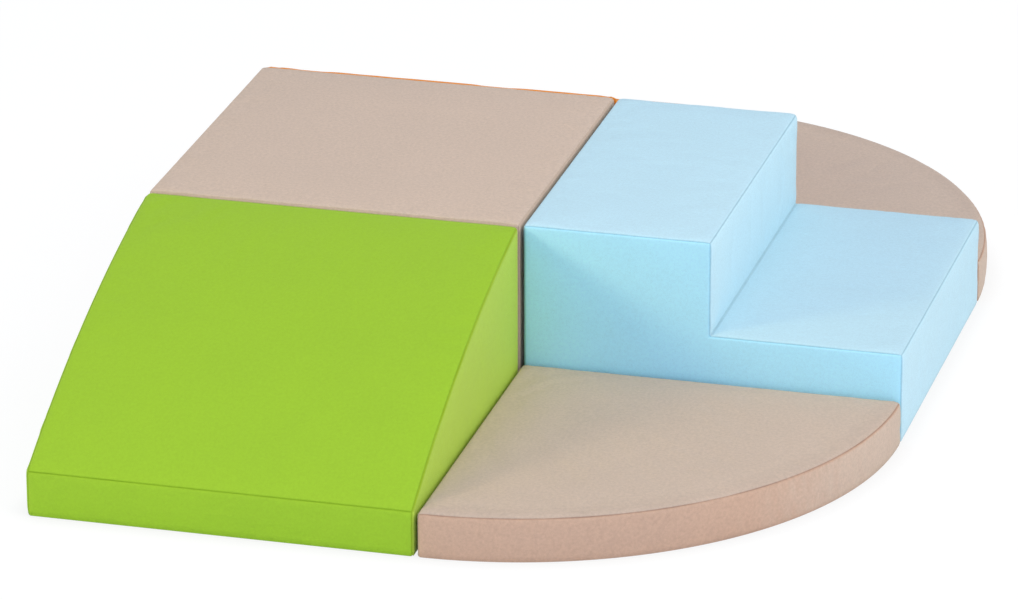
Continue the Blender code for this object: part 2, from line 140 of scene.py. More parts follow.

# Thread, tapes and zips

THREAD_RADIUS = 0.00035
STITCH_PITCH = 0.0036
STITCH_GAP_SHARE = 0.22
STITCH_MARGIN = 0.0025     # a zip's stitches run this far outside its band
TAPE_EDGE = 0.0025         # woven edge of a hook or loop tape, outside its pile
TAPE_EDGE_THICKNESS = 0.0008
TAPE_CELL = (0.0026, 0.0022)
PILE_CLEARANCE = 0.0003    # the pile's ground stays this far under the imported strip's face
HOOK_HEIGHT = 0.0002
HOOK_ROWS = (1500, 1300)
LOOP_HEIGHT = 0.0003
LOOP_SCALE = 330
TOOTH_PITCH = 0.00115
TOOTH_SHARE = 0.42         # half a tooth's foot, as a share of the pitch
TOOTH_CREST_SHARE = 0.55
TOOTH_SLOPE = 0.0004
TOOTH_OVERLAP = 0.0007     # how far a tooth reaches past the middle of the chain
TOOTH_SINK = 0.0001
STOP_EXTRA_WIDTH = 0.0012
STOP_EXTRA_HEIGHT = 0.0006
STOP_ROUND = 0.0004
GROOVE_OFFSET = 0.0006     # the band's groove lies this far outside the chain
GROOVE_WIDTH = 0.0008
GROOVE_DEPTH = 0.0002
BAND_CELL = (0.008, 0.0016)
RUNNER_ROUND = 0.00025
CORE_ROUND = 0.0012
CORE_SHARP_ANGLE = 25

# Colours, linear

BEIGE = (0.620, 0.477, 0.379)
GREEN = (0.323, 0.533, 0.0262)
BLUE = (0.543, 0.770, 0.868)
ORANGE = (0.850, 0.280, 0.022)
# the second colours paint light and shade into the same cloths: painted shade on the mats' arcs, painted
# light on the ramp's right side, painted light and shade on the stair's front
BEIGE_SIDE_PAINTED_SHADE = (0.608, 0.394, 0.283)
GREEN_SIDE_PAINTED_LIGHT = (0.462, 0.652, 0.078)
BLUE_FRONT_PAINTED_LIGHT = (0.455, 0.820, 0.985)
BEIGE_SEAM_AND_SHADE = (0.55, 0.50, 0.50)     # share of the cloth's colour that a seam line, and the painted shade beside some seams, keeps
GREEN_SEAM_AND_SHADE = (0.56, 0.60, 0.08)
BLUE_SEAM_AND_SHADE = (0.52, 0.62, 0.67)
ORANGE_SEAM = (0.65, 0.50, 0.40)
FOAM_WHITE = (0.70, 0.69, 0.64)
BASE_GREY = (0.060, 0.062, 0.066)
TAPE_GREY = (0.30, 0.30, 0.30)
TEETH_GREY = (0.22, 0.22, 0.22)
NICKEL = (0.62, 0.61, 0.58)
HOOK_GREY = (0.16, 0.16, 0.17)
LOOP_GREY = (0.24, 0.24, 0.25)
THREAD_GREY = (0.34, 0.33, 0.32)

# Textures: scales in parts to the metre, reliefs in metres

NOISE_SPAN = (0.3, 0.7)    # nearly all of a noise's values lie in here
GRAIN_SCALE = 950.0
GRAIN_RANDOMNESS = 0.9
GRAIN_FURROW = 0.12        # width of the dark furrows between grains, as a share of a grain
GRAIN_ROUND = 0.25         # share of a grain over which it rises
GRAIN_SHADES = (0.92, 1.045)
GRAIN_RELIEF = 0.0003
GRAIN_STRENGTH = 0.35
FINE_RELIEF_SHARE = 0.5
SPECKLE_RELIEF_SHARE = 1.5
FINE_SCALE = 1500.0
SPECKLE_SCALE = 210.0
SPECKLE_SPAN = (0.25, 0.75)
PATCH_SCALE = 9.0
PATCH_CHANGE = 0.012
PATCH_ROUGHNESS = 0.03
PAINTED_SHADOW_HEIGHT = 0.012        # painted contact shadow: the cloth is a little darker below this height
PAINTED_SHADOW_SHARE = 0.90
COVER_ROUGHNESS = (0.58, 0.70)
COVER_SPECULAR = 0.18
COVER_SHEEN = 0.03
COVER_SHEEN_ROUGHNESS = 0.5
PLAIN_SHADES = (0.86, 1.12)
ROUGHNESS_CHANGE = 0.06
PORE_SCALE = 420.0
PORE_SPAN = (0.1, 0.6)
PORE_SHADES = (0.78, 1.05)
PORE_DEPTH = 0.0006
PORE_STRENGTH = 0.6
FOAM_ROUGHNESS = 0.9
DOT_PITCH = 0.006
DOT_EDGE = (0.22, 0.30)    # shares of the pitch between which a dot's edge falls off
DOT_DARKER = 0.45
DOT_RELIEF = 0.0005
DOT_STRENGTH = 0.8
BASE_WEAVE_SCALE = 900.0
BASE_WEAVE_SHADES = (0.75, 1.25)
BASE_WEAVE_SHARE = 0.15
BASE_ROUGHNESS = (0.92, 0.55)       # of the cloth and of the dots
YARN_SCALE = 1200.0
YARN_CHANGE = 0.06
YARN_SHARE = 0.4
RIB_WANDER = 0.4
RIB_SHADES = (0.88, 1.06)
RIB_RELIEF = 0.0002
RIB_STRENGTH = 0.4
WOVEN_ROUGHNESS = 0.82
WOVEN_SHEEN = 0.05

# Which seams and which cloth, and where light and shade are painted

TOPS = {"top", "tread"}
# panels painted in the second colours, as painted light and shade
PAINTED_LIGHT_PANELS = {"front_mat": ("arc",), "back_mat": ("arc",), "stair": ("front",), "ramp": ("right",)}
BLOCK_PAINTED_LIGHT = {"platform": 1.045, "front_mat": 0.955}       # how much lighter each block is painted: painted light on the platform and painted shade on the front mat
# painted light on the stair's riser and painted shade on its tread
PANEL_PAINTED_LIGHT = {("stair", "riser"): 1.035, ("stair", "tread"): 0.96}
# Darkness of a seam line and of the painted shade beside some seams, from its row of stitches on: down the
# side, and over the top

PLAIN_ROWS = ((1.0, 0.2), (1.0, 0.2))
UPRIGHT_ROWS = ((0.90, 0.50, 0.10), (0.90, 0.50, 0.10))
# painted shade on the platform's rounded edges beside the seam, over the highlight they catch
EDGE_SHADE_ROWS = ((0.32, 0.30, 0.25, 0.25, 0.25), (0.25, 0.05))
# painted shade over the mats' top rim along the arc
ARC_RIM_SHADE_ROWS = ((1.0, 0.35, 0.12), (1.0, 0.35, 0.20, 0.16, 0.14, 0.13, 0.10, 0.05))
SEAM_AND_SHADE_ROWS = {
    ("platform", "front", "top"): EDGE_SHADE_ROWS,
    ("platform", "right", "top"): EDGE_SHADE_ROWS,
    # painted shade over the ramp's rounded top edge
    ("ramp", "right", "top"): ((1.0, 0.90, 0.60, 0.35, 0.20), (1.0, 0.60, 0.10)),
    # painted shade in the inner corner between the riser and the tread
    ("stair", "riser", "tread"): ((0.65, 0.62, 0.50, 0.25), (0.65, 0.62, 0.55, 0.30)),
    ("front_mat", "arc", "top"): ARC_RIM_SHADE_ROWS,
    ("back_mat", "arc", "top"): ARC_RIM_SHADE_ROWS,
}

scene = bpy.context.scene
scene.view_settings.view_transform = "Standard"


# Camera, floor and light

def add_camera():
    data = bpy.data.cameras.new("camera")
    data.sensor_fit = "HORIZONTAL"
    data.sensor_width = SENSOR_WIDTH
    data.lens = FOCAL_PIXELS * SENSOR_WIDTH / IMAGE_WIDTH
    data.clip_start, data.clip_end = CLIP_RANGE
    camera = bpy.data.objects.new("camera", data)
    scene.collection.objects.link(camera)
    turn = Matrix.Rotation(CAMERA_YAW, 4, "Z") @ Matrix.Rotation(math.pi / 2 + CAMERA_PITCH, 4, "X")
    camera.matrix_world = Matrix.Translation(CAMERA_PLACE) @ turn @ Matrix.Rotation(CAMERA_ROLL, 4, "Z")
    scene.camera = camera


def seen_directly(tree):
    """1 where the camera sees a surface by itself, in gloss or through glass."""
    path = tree.nodes.new("ShaderNodeLightPath")
    total = path.outputs["Is Camera Ray"]
    for name in ("Is Glossy Ray", "Is Transmission Ray"):
        add = tree.nodes.new("ShaderNodeMath")
        add.use_clamp = True
        tree.links.new(total, add.inputs[0])
        tree.links.new(path.outputs[name], add.inputs[1])
        total = add.outputs[0]
    return total


def add_floor():
    mesh = bmesh.new()
    bmesh.ops.create_grid(mesh, x_segments=1, y_segments=1, size=FLOOR_HALF_SIDE)
    data = bpy.data.meshes.new("floor")
    mesh.to_mesh(data)
    mesh.free()
    floor = bpy.data.objects.new("floor", data)
    scene.collection.objects.link(floor)
    material = bpy.data.materials.new("floor")
    material.use_nodes = True
    tree = material.node_tree
    tree.nodes.clear()
    output = tree.nodes.new("ShaderNodeOutputMaterial")
    diffuse, seen = (tree.nodes.new("ShaderNodeBsdfDiffuse") for _ in range(2))
    diffuse.inputs["Color"].default_value = (FLOOR_ALBEDO, FLOOR_ALBEDO, FLOOR_ALBEDO, 1)
    seen.inputs["Color"].default_value = (SEEN_ALBEDO, SEEN_ALBEDO, SEEN_ALBEDO, 1)
    glow = tree.nodes.new("ShaderNodeEmission")
    near = tree.nodes.new("ShaderNodeAmbientOcclusion")
    near.inputs["Distance"].default_value = CONTACT_REACH
    contact = tree.nodes.new("ShaderNodeMapRange")
    contact.inputs["From Min"].default_value = 0.5
    contact.inputs["To Min"].default_value = FLOOR_GLOW * CONTACT_SHADE
    contact.inputs["To Max"].default_value = FLOOR_GLOW
    tree.links.new(near.outputs["AO"], contact.inputs["Value"])
    tree.links.new(contact.outputs["Result"], glow.inputs["Strength"])
    both = tree.nodes.new("ShaderNodeAddShader")
    mix = tree.nodes.new("ShaderNodeMixShader")
    tree.links.new(seen.outputs[0], both.inputs[0])
    tree.links.new(glow.outputs[0], both.inputs[1])
    tree.links.new(seen_directly(tree), mix.inputs[0])
    tree.links.new(diffuse.outputs[0], mix.inputs[1])
    tree.links.new(both.outputs[0], mix.inputs[2])
    tree.links.new(mix.outputs[0], output.inputs["Surface"])
    data.materials.append(material)
    floor.location.z = -FLOOR_DROP


def add_light():
    world = bpy.data.worlds.new("world")
    scene.world = world
    world.use_nodes = True
    tree = world.node_tree
    tree.nodes.clear()
    output = tree.nodes.new("ShaderNodeOutputWorld")
    lighting = tree.nodes.new("ShaderNodeBackground")
    lighting.inputs["Strength"].default_value = WORLD_LIGHT
    shown = tree.nodes.new("ShaderNodeBackground")
    lighting.inputs["Color"].default_value = (*WORLD_COLOUR, 1)
    shown.inputs["Color"].default_value = (1, 1, 1, 1)
    mix = tree.nodes.new("ShaderNodeMixShader")
    tree.links.new(seen_directly(tree), mix.inputs[0])
    tree.links.new(lighting.outputs[0], mix.inputs[1])
    tree.links.new(shown.outputs[0], mix.inputs[2])
    tree.links.new(mix.outputs[0], output.inputs["Surface"])
    for name, direction, distance, side, strength, colour in LAMPS:
        data = bpy.data.lights.new(name, "AREA")
        data.color = colour
        data.shape = "SQUARE"
        data.size = side
        # a square lamp far off gives power / (pi distance^2) / pi of light; this undoes it
        data.energy = strength * math.pi ** 2 * distance ** 2
        lamp = bpy.data.objects.new(name, data)
        scene.collection.objects.link(lamp)
        toward = Vector(direction).normalized()
        lamp.location = toward * distance
        lamp.rotation_euler = toward.to_track_quat("Z", "Y").to_euler()


# Lattice forms: the outside of a block of cells, each face of which belongs to one sewn panel

SIDES = {(0, 0): "left", (0, 1): "right", (1, 0): "front", (1, 1): "back", (2, 0): "bottom", (2, 1): "top"}


def plain_panel(axis, side, cell):
    return SIDES[axis, side]


def keep_all(cell):
    return True


def lattice_surface(lines, place, panel_name=plain_panel, keep=keep_all):
    mesh = bmesh.new()
    layer = mesh.faces.layers.int.new("panel")
    corners = {}
    numbers = {}
    spans = [range(len(shares) - 1) for shares in lines]
    last = [len(shares) - 2 for shares in lines]
    cells = [(i, j, k) for i in spans[0] for j in spans[1] for k in spans[2]]
    kept = {cell for cell in cells if keep(cell)}

    def corner(index):
        if index not in corners:
            corners[index] = mesh.verts.new(place(*(lines[axis][index[axis]] for axis in range(3))))
        return corners[index]

    for cell in cells:
        if cell not in kept:
            continue
        for axis in range(3):
            for side in (0, 1):
                beyond = list(cell)
                beyond[axis] += 2 * side - 1
                if 0 <= beyond[axis] <= last[axis] and tuple(beyond) in kept:
                    continue
                loop = []
                for first, second in ((0, 0), (1, 0), (1, 1), (0, 1)):
                    index = list(cell)
                    index[axis] += side
                    index[(axis + 1) % 3] += first
                    index[(axis + 2) % 3] += second
                    loop.append(corner(tuple(index)))
                if side == 0:
                    loop.reverse()
                name = panel_name(axis, side, cell)
                mesh.faces.new(loop)[layer] = numbers.setdefault(name, len(numbers))
    bottom = [face for face in mesh.faces if face[layer] == numbers["bottom"]]
    bmesh.ops.dissolve_faces(mesh, faces=bottom, use_verts=False)
    mesh.verts.index_update()
    mesh.normal_update()
    return mesh, layer, numbers


def even_lines(marks, cell=CELL):
    """Lines at every mark and, between two marks, at even steps of about one cell."""
    lines = []
    for first, second in zip(marks, marks[1:]):
        steps = max(1, round((second - first) / cell))
        lines += [first + (second - first) * step / steps for step in range(steps)]
    return [*lines, marks[-1]]


def across(share):
    return MODULE_SIDE * share - HALF


SLOT_END = (MODULE_SIDE - ZIP_LENGTH) / 2 - SEAT_GAP
SIDE_LINES = [x / MODULE_SIDE for x in even_lines([0, SLOT_END, MODULE_SIDE - SLOT_END, MODULE_SIDE])]
SLOT_HALF = TAPE_WIDTH / 2 + SEAT_GAP


def rise(share, top):
    """Height of a lattice line: a fixed rim at the floor and the top, and in proportion between them."""
    if share <= RIM_SHARE:
        return COVER_LIFT + RIM * share / RIM_SHARE
    if share >= 1 - RIM_SHARE:
        return top - RIM * (1 - share) / RIM_SHARE
    middle = (share - RIM_SHARE) / (1 - 2 * RIM_SHARE)
    return COVER_LIFT + RIM + middle * (top - COVER_LIFT - 2 * RIM)


def height_lines(height, marks):
    """Lattice lines of a wall of a height, with a line at each mark."""
    span = height - COVER_LIFT - 2 * RIM
    inner = even_lines([COVER_LIFT + RIM, *marks, height - RIM])
    shares = [RIM_SHARE + (1 - 2 * RIM_SHARE) * (z - COVER_LIFT - RIM) / span for z in inner]
    return [0, *shares, 1]


TALL_LINES = height_lines(PLATFORM_HEIGHT, (ZIP_HEIGHT - SLOT_HALF, ZIP_HEIGHT + SLOT_HALF))
LOW_LINES = height_lines(MAT_HEIGHT, (MAT_ZIP_HEIGHT - SLOT_HALF, MAT_ZIP_HEIGHT + SLOT_HALF))


def box_form():
    def place(u, v, w):
        return Vector((across(u), across(v), rise(w, PLATFORM_HEIGHT)))

    return lattice_surface((SIDE_LINES, SIDE_LINES, TALL_LINES), place)


def arc_height(distance, high, rise_of_arc):
    """Height along an arc from the lip to a height, whose middle stands off its chord."""
    side = math.copysign(1, rise_of_arc)
    chord = math.hypot(MODULE_SIDE, high - LIP_HEIGHT)
    radius = ((chord / 2) ** 2 + rise_of_arc ** 2) / (2 * abs(rise_of_arc))
    back_off = (rise_of_arc - side * radius) / chord
    centre_along = HALF - (high - LIP_HEIGHT) * back_off
    centre_height = (LIP_HEIGHT + high) / 2 + MODULE_SIDE * back_off
    return centre_height + side * math.sqrt(radius ** 2 - (distance - centre_along) ** 2)


def slope_form(high, rise_of_arc):
    def place(u, v, w):
        return Vector((across(u), across(v), rise(w, arc_height(MODULE_SIDE * v, high, rise_of_arc))))

    return lattice_surface((SIDE_LINES, SIDE_LINES, TALL_LINES), place)


def ramp_form():
    return slope_form(PLATFORM_HEIGHT, RAMP_BULGE)


def slide_form():
    return slope_form(PLATFORM_HEIGHT - SLIDE_DROP, -SLIDE_DIP)


def stair_form():
    tread = even_lines([0, SLOT_END, TREAD_START, MODULE_SIDE - SLOT_END, MODULE_SIDE])
    middle = tread.index(TREAD_START)
    marks = [COVER_LIFT, COVER_LIFT + RIM, ZIP_HEIGHT - SLOT_HALF, ZIP_HEIGHT + SLOT_HALF,
             TREAD_HEIGHT - RIM, TREAD_HEIGHT, TREAD_HEIGHT + RIM, PLATFORM_HEIGHT - RIM, PLATFORM_HEIGHT]
    levels = even_lines(marks)
    step = levels.index(TREAD_HEIGHT)

    def place(u, v, w):
        return Vector((u - HALF, across(v), w))

    def panel_name(axis, side, cell):
        if side == 1 and axis == 0 and cell[0] < middle:
            return "riser"
        if side == 1 and axis == 2 and cell[2] < step:
            return "tread"
        return plain_panel(axis, side, cell)

    def keep(cell):
        return cell[0] < middle or cell[2] < step

    return lattice_surface((tread, SIDE_LINES, levels), place, panel_name, keep)


def mat_form():
    def place(u, v, w):
        radius = MODULE_SIDE * max(u, v)
        angle = 0
        if radius > 0:
            angle = math.pi / 4 * v / u if u >= v else math.pi / 2 - math.pi / 4 * u / v
        x, y = radius * math.cos(angle), radius * math.sin(angle)
        return Vector((x - HALF, y - HALF, rise(w, MAT_HEIGHT)))

    def panel_name(axis, side, cell):
        return "arc" if axis < 2 and side == 1 else plain_panel(axis, side, cell)

    return lattice_surface((SIDE_LINES, SIDE_LINES, LOW_LINES), place, panel_name)


# Side faces: X runs to the right as one looks at the face, Y up, and Z out of the block

OUTWARD = {"front": (0, -1, 0), "right": (1, 0, 0), "back": (0, 1, 0), "left": (-1, 0, 0)}


def side_frame(face, height=0.0):
    """The matrix from a side face's own frame, at a height, into its block's frame."""
    out = Vector(OUTWARD[face])
    up = Vector((0, 0, 1))
    turn = Matrix((up.cross(out), up, out)).transposed().to_4x4()
    return Matrix.Translation(out * HALF + up * height) @ turn


def block_frame(column, row, turn):
    """The matrix from a block's own frame to the set's."""
    place = Matrix.Translation((PITCH * (column - 1 / 2), PITCH * row, 0))
    return place @ Matrix.Rotation(math.radians(turn), 4, "Z")


# Cloth: crowns, a simulation with the seams held, and its creases

def coordinates(mesh):
    return np.array([vert.co for vert in mesh.verts])


def distances(points, starts, ends):
    """Distance of each point from the nearest of some segments."""
    best = np.full(len(points), np.inf)
    for start, end in zip(starts, ends):
        along = end - start
        share = np.clip((points - start) @ along / max(along @ along, TINY), 0, 1)
        best = np.minimum(best, np.linalg.norm(points - start - share[:, None] * along, axis=1))
    return best


def panel_facts(mesh, layer, numbers):
    """For each point: its panel, or -1 on a seam, its normal, and its distance from its panel's seams."""
    count = len(mesh.verts)
    panel = np.full(count, -1)
    for vert in mesh.verts:
        kinds = {face[layer] for face in vert.link_faces}
        if len(kinds) == 1:
            panel[vert.index] = kinds.pop()
    points = coordinates(mesh)
    normals = np.array([vert.normal for vert in mesh.verts])
    borders = {}
    for edge in mesh.edges:
        kinds = {face[layer] for face in edge.link_faces}
        if len(kinds) > 1:
            for kind in kinds:
                borders.setdefault(kind, []).append([tuple(vert.co) for vert in edge.verts])
    distance = np.zeros(count)
    for number in set(numbers.values()):
        mine = np.nonzero(panel == number)[0]
        if len(mine):
            ends = np.array(borders[number])
            distance[mine] = distances(points[mine], ends[:, 0], ends[:, 1])
    return panel, normals, distance


def swell(distance):
    reach = np.minimum(distance / CROWN_REACH, 1)
    return np.sqrt(1 - (1 - reach) ** 2)


def move_points(mesh, points):
    for vert, point in zip(mesh.verts, points):
        vert.co = point
    mesh.normal_update()


def inflate(mesh, held):
    """Blows the sewn form up as cloth with its seams held, and gives how far each point went."""
    data = bpy.data.meshes.new("trial")
    mesh.to_mesh(data)
    trial = bpy.data.objects.new("trial", data)
    scene.collection.objects.link(trial)
    group = trial.vertex_groups.new(name="held")
    group.add([int(index) for index in held], 1.0, "REPLACE")
    cloth = trial.modifiers.new("cloth", "CLOTH")
    settings = cloth.settings
    settings.quality = SIM_QUALITY
    settings.use_pressure = True
    settings.uniform_pressure_force = PRESSURE
    settings.shrink_min = -SLACK
    settings.tension_stiffness = STRETCH_STIFFNESS
    settings.compression_stiffness = STRETCH_STIFFNESS
    settings.shear_stiffness = SHEAR_STIFFNESS
    settings.bending_stiffness = BENDING_STIFFNESS
    settings.vertex_group_mass = "held"
    settings.effector_weights.gravity = 0
    cloth.collision_settings.use_collision = False
    cloth.point_cache.frame_start, cloth.point_cache.frame_end = 1, SIM_FRAMES
    for step in range(1, SIM_FRAMES + 1):
        scene.frame_set(step)
    graph = bpy.context.evaluated_depsgraph_get()
    blown = trial.evaluated_get(graph).to_mesh()
    moved = np.empty(len(blown.vertices) * 3)
    blown.vertices.foreach_get("co", moved)
    trial.evaluated_get(graph).to_mesh_clear()
    bpy.data.objects.remove(trial)
    bpy.data.meshes.remove(data)
    scene.frame_set(1)
    return moved.reshape(-1, 3) - coordinates(mesh)


def smoothed(mesh, values, free):
    """Values spread over neighbours again and again, with the seams kept at nothing."""
    ends = np.array([(edge.verts[0].index, edge.verts[1].index) for edge in mesh.edges])
    counts = np.bincount(ends.ravel(), minlength=len(values))
    result = values.copy()
    for _ in range(SMOOTH_STEPS):
        total = np.zeros_like(result)
        np.add.at(total, ends[:, 0], result[ends[:, 1]])
        np.add.at(total, ends[:, 1], result[ends[:, 0]])
        result = np.where(free, 0.5 * result + 0.5 * total / counts, 0)
    return result


def flat_share(points, zones):
    """0 on a zip or a tape, and 1 away from all of them."""
    share = np.ones(len(points))
    for face, height, length, width in zones:
        local = np.array(side_frame(face, height).inverted())
        there = points @ local[:3, :3].T + local[:3, 3]
        outside = np.maximum(np.abs(there) - (length / 2, width / 2, KEEP_FLAT_DEPTH), 0)
        reach = np.clip((np.linalg.norm(outside, axis=1) - KEEP_FLAT_EDGE) / KEEP_FLAT_REACH, 0, 1)
        share = np.minimum(share, reach * reach * (3 - 2 * reach))
    return share


def pad_out(mesh, layer, numbers, crowns, zones):
    """Crowns each panel as foam does, and lays the creases of the blown up cloth over it."""
    panel, normals, distance = panel_facts(mesh, layer, numbers)
    points = coordinates(mesh)
    crown = np.zeros(len(points))
    for name, height in crowns.items():
        if name in numbers:
            crown[panel == numbers[name]] = height
    full = points + normals * (crown * swell(distance))[:, None]
    move_points(mesh, full)
    free = (panel >= 0) & (panel != numbers["bottom"])
    shift = inflate(mesh, np.nonzero(~free)[0])
    height = np.where(free, np.einsum("ij,ij->i", shift, normals), 0)
    crease = height - smoothed(mesh, height, free)
    limit = np.where(crown > MATING_CROWN * ROUNDING, WRINKLE_LIMIT, MATING_WRINKLE)
    crease = limit * np.tanh(crease / WRINKLE_LIMIT)
    crease *= flat_share(full, zones)
    full = full + normals * np.maximum(crease, -SEAT_GAP / 2)[:, None]
    move_points(mesh, full)


def shade_seams(name, rows, seam_and_shade_dark, panels_at):
    """Marks how dark the seams' lines are, with the painted shade beside some seams, row by row away from
    their stitches.
    """
    front = {}
    for vert in rows:
        panels = panels_at(vert) - {"bottom"}
        usual = PLAIN_ROWS if panels & TOPS else UPRIGHT_ROWS
        front[vert] = SEAM_AND_SHADE_ROWS.get((name, *sorted(panels)), usual)
    done = set()
    ring = 0
    uneven = ARC_SEAM_UNEVEN if name in ("front_mat", "back_mat") else SEAM_UNEVEN
    while front:
        done.update(front)
        following = {}
        for vert, table in front.items():
            shades = table[1] if panels_at(vert) & TOPS else table[0]
            if ring < len(shades):
                lighter = uneven * (0.5 + noise.noise(vert.co * SEAM_UNEVEN_SCALE))
                vert[seam_and_shade_dark] = shades[ring] * (1 - lighter)
            if ring + 1 < max(map(len, table)):
                for edge in vert.link_edges:
                    other = edge.other_vert(vert)
                    if other not in done:
                        following.setdefault(other, table)
        front = following
        ring += 1


def sew(mesh, layer, numbers, name):
    """Rounds the seams, draws the row of stitches in, rounds the hem, and marks for the material the darker
    rows of the seams with painted shade beside some, and the panels with painted light and shade.
    """
    bottom = numbers["bottom"]
    hem = {edge for edge in mesh.edges if any(face[layer] == bottom for face in edge.link_faces)}
    seams = [edge for edge in mesh.edges
             if edge not in hem and len({face[layer] for face in edge.link_faces}) > 1]
    bmesh.ops.bevel(mesh, geom=seams, offset=SEAM_RADIUS, offset_type="OFFSET", segments=SEAM_SEGMENTS,
                    profile=0.5, affect="EDGES", clamp_overlap=True, loop_slide=True)
    mesh.normal_update()
    seam_and_shade_dark = mesh.verts.layers.float.new("seam_and_shade")
    rows = [vert for vert in mesh.verts
            if len({face[layer] for face in vert.link_faces if face[layer] != bottom}) > 1]
    chosen = set(rows)
    beside = {other for vert in rows for edge in vert.link_edges
              for other in [edge.other_vert(vert)] if other not in chosen}
    moves = []
    for vert in rows:
        pull = SEAM_DEPTH * (1 + SEAM_DEPTH_CHANGE * noise.noise(vert.co * SEAM_DEPTH_SCALE))
        moves.append((vert, vert.normal * pull))
    for vert in beside:
        moves.append((vert, vert.normal * LIP_DEPTH))
    for vert, move in moves:
        vert.co -= move
    names = {number: panel for panel, number in numbers.items()}
    shade_seams(name, rows, seam_and_shade_dark, lambda vert: {names[face[layer]] for face in vert.link_faces})
    hem = [edge for edge in mesh.edges if any(face[layer] == bottom for face in edge.link_faces)]
    bmesh.ops.bevel(mesh, geom=hem, offset=HEM_RADIUS, offset_type="OFFSET", segments=HEM_SEGMENTS,
                    profile=0.5, affect="EDGES", clamp_overlap=True, loop_slide=True)
    under = [face for face in mesh.faces if face[layer] == bottom and len(face.verts) > 4]
    bmesh.ops.inset_region(mesh, faces=under, thickness=HEM_WIDTH - HEM_RADIUS, use_even_offset=True)
    bmesh.ops.delete(mesh, geom=under, context="FACES")
    # painted light and shade: marks the panels that take the second colour
    painted_light_share = mesh.verts.layers.float.new("painted_light_share")
    painted_panels = {numbers[panel] for panel in PAINTED_LIGHT_PANELS.get(name, ())}
    for vert in mesh.verts:
        vert[painted_light_share] = float(any(face[layer] in painted_panels for face in vert.link_faces))
        # painted light: a mat's arc goes back to the top's lighter colour where it faces right, toward the
        # key lamp
        if "arc" in numbers:
            toward = vert.normal.x if name == "back_mat" else vert.normal.y
            fade = min(max((toward - ARC_PAINTED_LIGHT_START) / (1 - ARC_PAINTED_LIGHT_START), 0), 1)
            vert[painted_light_share] *= 1 - fade * fade * (3 - 2 * fade)
    mesh.normal_update()


def cut_slot(mesh, face, height):
    """Takes the cells out of a cover where its zip is."""
    inside = side_frame(face, height).inverted()
    gone = []
    for cell in mesh.faces:
        middle = inside @ cell.calc_center_median()
        if abs(middle.x) < ZIP_LENGTH / 2 and abs(middle.y) < TAPE_WIDTH / 2 and abs(middle.z) < SLOT_DEPTH:
            gone.append(cell)
    bmesh.ops.delete(mesh, geom=gone, context="FACES")


def add_piece(name, mesh, body, material, matrix=None, smooth=True):
    if matrix is not None:
        mesh.transform(matrix)
    data = bpy.data.meshes.new(name)
    mesh.to_mesh(data)
    mesh.free()
    if smooth:
        data.shade_smooth()
    piece = bpy.data.objects.new(name, data)
    scene.collection.objects.link(piece)
    data.materials.append(material)
    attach(piece, body)
    return piece


# Materials

def new_material(name):
    material = bpy.data.materials.new(name)
    material.use_nodes = True
    tree = material.node_tree
    return material, tree, tree.nodes["Principled BSDF"]


def node(tree, kind, inputs=(), **settings):
    made = tree.nodes.new(kind)
    for key, value in settings.items():
        setattr(made, key, value)
    for key, value in dict(inputs).items():
        if isinstance(value, bpy.types.NodeSocket):
            tree.links.new(value, made.inputs[key])
        else:
            made.inputs[key].default_value = value
    return made


def maths(tree, operation, first, second, third=0.0):
    return node(tree, "ShaderNodeMath", {0: first, 1: second, 2: third}, operation=operation).outputs[0]


def object_place(tree):
    return node(tree, "ShaderNodeTexCoord").outputs["Object"]


def marked(tree, name):
    """A number that the mesh carries at its points."""
    return node(tree, "ShaderNodeAttribute", attribute_name=name).outputs["Fac"]


def cloudy(tree, place, scale, detail=3.0):
    """Noise of a scale, in parts to the metre."""
    inputs = {"Vector": place, "Scale": scale, "Detail": detail}
    return node(tree, "ShaderNodeTexNoise", inputs).outputs["Fac"]


def vector_maths(tree, operation, first, second):
    return node(tree, "ShaderNodeVectorMath", {0: first, 1: second}, operation=operation).outputs[0]


def raise_relief(tree, shader, height, strength, distance):
    bump = node(tree, "ShaderNodeBump", {"Strength": strength, "Distance": distance, "Height": height})
    tree.links.new(bump.outputs[0], shader.inputs["Normal"])


def ramp(tree, value, low, high, to_low, to_high):
    """Value taken from one range to another, held at its ends."""
    mapped = node(tree, "ShaderNodeMapRange", {"Value": value, "From Min": low, "From Max": high,
                                               "To Min": to_low, "To Max": to_high})
    return mapped.outputs["Result"]


def mixed(tree, factor, first, second):
    blend = node(tree, "ShaderNodeMix", {"Factor": factor}, data_type="RGBA")
    for name, value in (("A", first), ("B", second)):
        if isinstance(value, bpy.types.NodeSocket):
            tree.links.new(value, blend.inputs[name])
        else:
            blend.inputs[name].default_value = value
    return blend.outputs["Result"]


def tinted(tree, colour, factor):
    """A colour, or a place, times a number."""
    return node(tree, "ShaderNodeVectorMath", {0: colour, "Scale": factor}, operation="SCALE").outputs[0]


